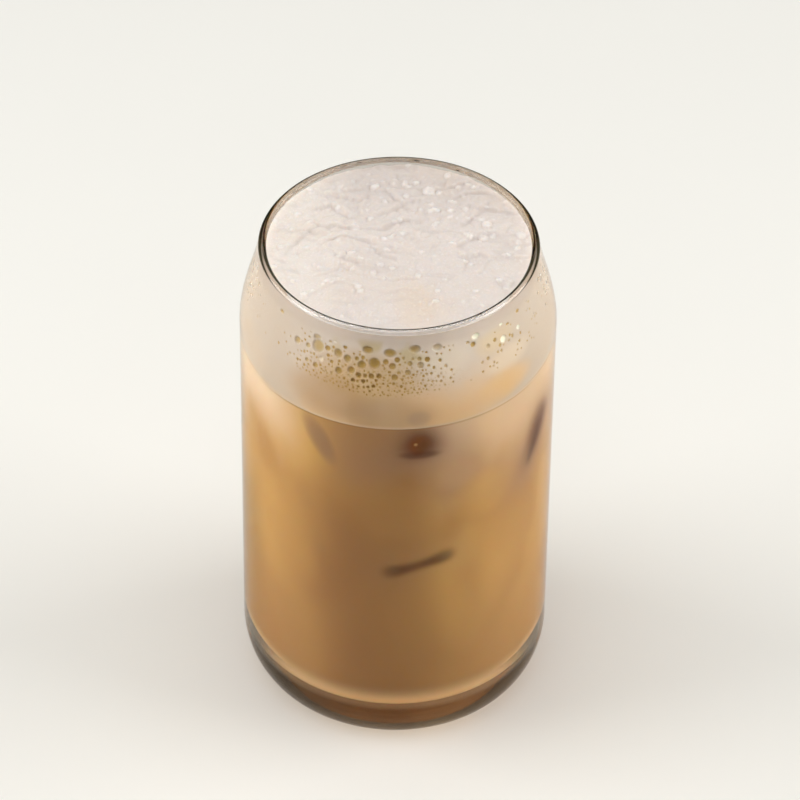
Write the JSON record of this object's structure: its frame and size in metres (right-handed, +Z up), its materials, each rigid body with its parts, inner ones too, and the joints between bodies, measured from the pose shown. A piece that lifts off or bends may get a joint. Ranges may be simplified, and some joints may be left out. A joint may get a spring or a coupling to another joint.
{
  "type": "iced latte",
  "caption": "Iced milk coffee with a foam layer, filled to just under the rim of a can-shaped drinking glass with a straight body, rounded heel and narrowed shoulder.",
  "frame": {"origin": "on the axis of the glass at the height of the surface it stands on", "axes": "+Z up along the axis of the glass, -Y towards the side that the picture shows, +X to the right in the picture"},
  "size_m": [0.076, 0.076, 0.131],
  "materials": {
    "glass": "clear, polished",
    "latte": "opaque milky liquid",
    "foam": "soft froth with a damp sheen",
    "ice": "wet, stained by the coffee"
  },
  "bodies": {
    "root": {"glass": "glass", "latte": "latte", "foam": "foam", "ice_1": "ice", "ice_2": "ice", "ice_3": "ice"}
  },
  "joints": []
}
